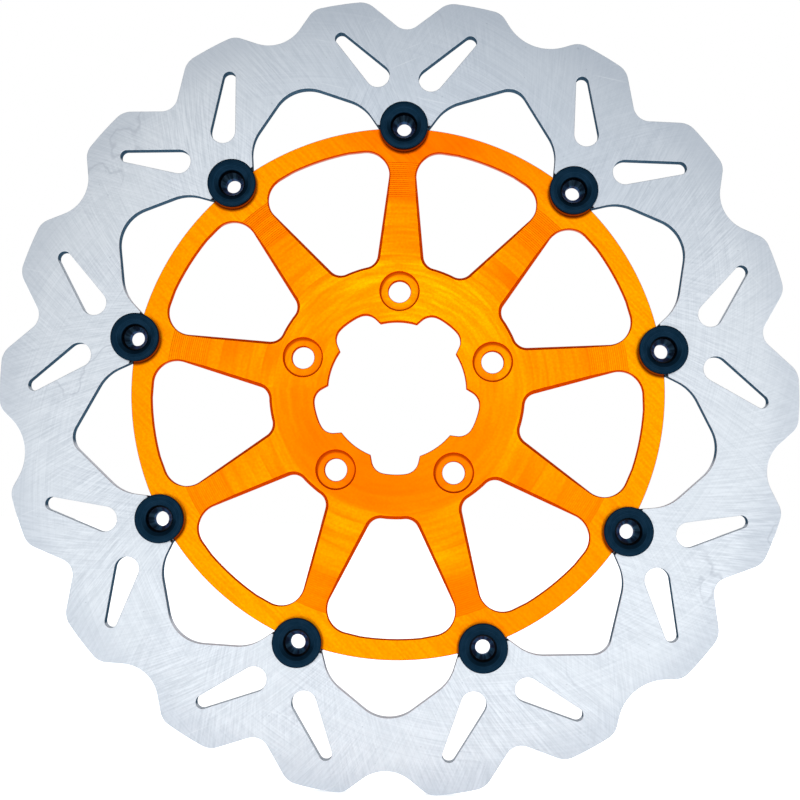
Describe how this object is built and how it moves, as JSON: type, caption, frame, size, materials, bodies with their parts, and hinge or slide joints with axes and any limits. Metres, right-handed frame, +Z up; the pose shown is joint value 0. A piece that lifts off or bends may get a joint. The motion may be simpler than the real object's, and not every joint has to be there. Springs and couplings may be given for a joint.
{
  "type": "brake disc rotor",
  "caption": "Floating motorcycle front brake disc: waved, slotted steel friction ring carried on a spoked anodised centre by rotating drive buttons.",
  "frame": {"origin": "centre of the whole disc's box, on the wheel's axis, halfway between the front faces and the back ends of the drive buttons", "axes": "+Y along the wheel's axis from the outer face to the mounting side, +Z up through the first drive button and the first bolt hole, +X to the right seen from the outer face"},
  "size_m": [0.292, 0.011, 0.2897],
  "materials": {
    "anodised_orange": "orange anodised, satin, milled",
    "anodised_black": "black anodised with a blue cast, satin, turned",
    "brushed_steel": "ground and lightly brushed, satin",
    "washer_steel": "turned, satin",
    "spring_steel": "phosphated, dark satin"
  },
  "bodies": {
    "carrier": {"carrier": "anodised_orange"},
    "brake_ring": {"brake_ring": "brushed_steel"},
    "button_1": {"bobbin_1": "anodised_black", "wave_washer_1": "spring_steel", "flat_washer_1": "washer_steel", "circlip_1": "spring_steel"},
    "button_2": {"bobbin_2": "anodised_black", "wave_washer_2": "spring_steel", "flat_washer_2": "washer_steel", "circlip_2": "spring_steel"},
    "button_3": {"bobbin_3": "anodised_black", "wave_washer_3": "spring_steel", "flat_washer_3": "washer_steel", "circlip_3": "spring_steel"},
    "button_4": {"bobbin_4": "anodised_black", "wave_washer_4": "spring_steel", "flat_washer_4": "washer_steel", "circlip_4": "spring_steel"},
    "button_5": {"bobbin_5": "anodised_black", "wave_washer_5": "spring_steel", "flat_washer_5": "washer_steel", "circlip_5": "spring_steel"},
    "button_6": {"bobbin_6": "anodised_black", "wave_washer_6": "spring_steel", "flat_washer_6": "washer_steel", "circlip_6": "spring_steel"},
    "button_7": {"bobbin_7": "anodised_black", "wave_washer_7": "spring_steel", "flat_washer_7": "washer_steel", "circlip_7": "spring_steel"},
    "button_8": {"bobbin_8": "anodised_black", "wave_washer_8": "spring_steel", "flat_washer_8": "washer_steel", "circlip_8": "spring_steel"},
    "button_9": {"bobbin_9": "anodised_black", "wave_washer_9": "spring_steel", "flat_washer_9": "washer_steel", "circlip_9": "spring_steel"}
  },
  "joints": [
    {"name": "ring_float", "type": "slide", "parent": "carrier", "child": "brake_ring", "axis": [0, 1, 0], "range_m": [-0.0002, 0.0002]},
    {"name": "button_spin_1", "type": "hinge", "parent": "carrier", "child": "button_1", "pos_m": [0, 0, 0.0981], "axis": [0, 1, 0], "continuous": true},
    {"name": "button_spin_2", "type": "hinge", "parent": "carrier", "child": "button_2", "pos_m": [0.06306, 0, 0.07515], "axis": [0, 1, 0], "continuous": true},
    {"name": "button_spin_3", "type": "hinge", "parent": "carrier", "child": "button_3", "pos_m": [0.09661, 0, 0.01703], "axis": [0, 1, 0], "continuous": true},
    {"name": "button_spin_4", "type": "hinge", "parent": "carrier", "child": "button_4", "pos_m": [0.08496, 0, -0.04905], "axis": [0, 1, 0], "continuous": true},
    {"name": "button_spin_5", "type": "hinge", "parent": "carrier", "child": "button_5", "pos_m": [0.03355, 0, -0.09218], "axis": [0, 1, 0], "continuous": true},
    {"name": "button_spin_6", "type": "hinge", "parent": "carrier", "child": "button_6", "pos_m": [-0.03355, 0, -0.09218], "axis": [0, 1, 0], "continuous": true},
    {"name": "button_spin_7", "type": "hinge", "parent": "carrier", "child": "button_7", "pos_m": [-0.08496, 0, -0.04905], "axis": [0, 1, 0], "continuous": true},
    {"name": "button_spin_8", "type": "hinge", "parent": "carrier", "child": "button_8", "pos_m": [-0.09661, 0, 0.01703], "axis": [0, 1, 0], "continuous": true},
    {"name": "button_spin_9", "type": "hinge", "parent": "carrier", "child": "button_9", "pos_m": [-0.06306, 0, 0.07515], "axis": [0, 1, 0], "continuous": true}
  ]
}
